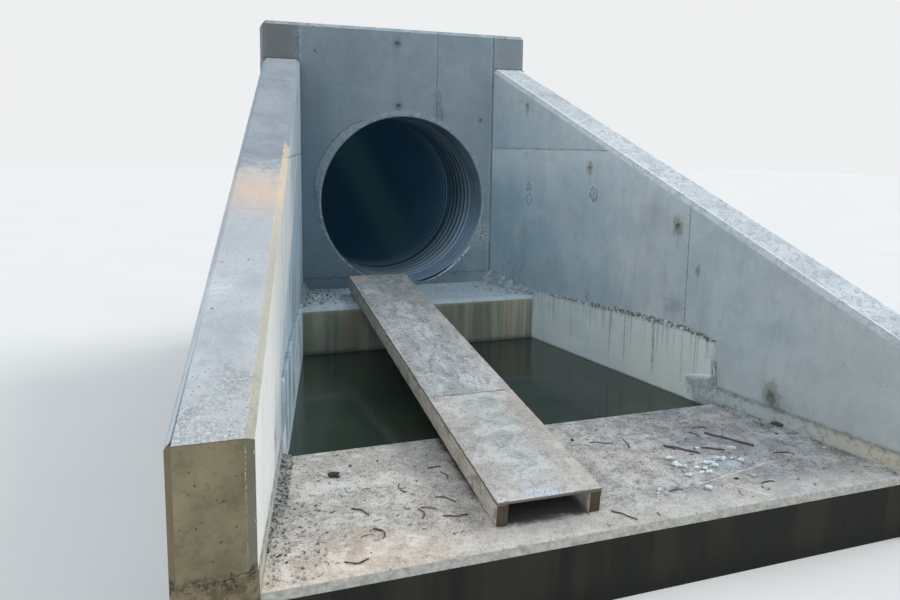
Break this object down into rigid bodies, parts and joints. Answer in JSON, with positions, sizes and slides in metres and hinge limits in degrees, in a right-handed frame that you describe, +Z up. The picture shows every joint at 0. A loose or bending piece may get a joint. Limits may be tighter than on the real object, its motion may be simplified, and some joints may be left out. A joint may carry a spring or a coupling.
{
  "type": "culvert headwall",
  "caption": "In-situ concrete culvert outfall headwall with splayed sloping wing walls, corrugated pipe mouth, step, stilling basin, apron, toe wall and a loose plank gangway.",
  "frame": {"origin": "underside level, on the centreline between the wing walls, in the plane of the headwall's front face", "axes": "+X to the right seen from downstream, +Y upstream along the pipe, +Z up"},
  "size_m": [4.5278, 5.804, 3.54],
  "materials": {
    "headwall_concrete": "formed grey concrete",
    "wing_concrete": "formed pale grey concrete",
    "basin_concrete": "water-stained concrete",
    "wet_concrete": "wet dark concrete",
    "apron_concrete": "rough trowelled concrete",
    "mortar": "rough mortar",
    "pipe_steel": "dull galvanised steel",
    "joist_timber": "weathered sawn timber",
    "deck_plywood": "worn plywood"
  },
  "bodies": {
    "root": {"apron_bed": "apron_concrete", "apron_slab": "apron_concrete", "basin_end_wall": "wet_concrete", "basin_floor": "wet_concrete", "corrugated_pipe": "pipe_steel", "gangway_front_deck": "deck_plywood", "gangway_left_joist": "joist_timber", "gangway_rear_deck": "deck_plywood", "gangway_right_joist": "joist_timber", "headwall_kicker": "headwall_concrete", "headwall_left_bay": "headwall_concrete", "headwall_left_end": "headwall_concrete", "headwall_right_bay": "headwall_concrete", "headwall_right_end": "headwall_concrete", "left_apron_fillet": "mortar", "left_basin_lining": "basin_concrete", "left_corner_haunch": "mortar", "left_wing_front_bay": "wing_concrete", "left_wing_kicker": "wing_concrete", "left_wing_lower_lift": "wing_concrete", "left_wing_upper_lift": "wing_concrete", "outfall_step": "basin_concrete", "pipe_end_band": "pipe_steel", "pipe_grout_ring": "mortar", "right_basin_lining": "basin_concrete", "right_corner_haunch": "mortar", "right_wing_front_bay": "wing_concrete", "right_wing_kicker": "wing_concrete", "right_wing_lower_lift": "wing_concrete", "right_wing_upper_lift": "wing_concrete", "toe_wall": "wet_concrete"}
  },
  "joints": []
}
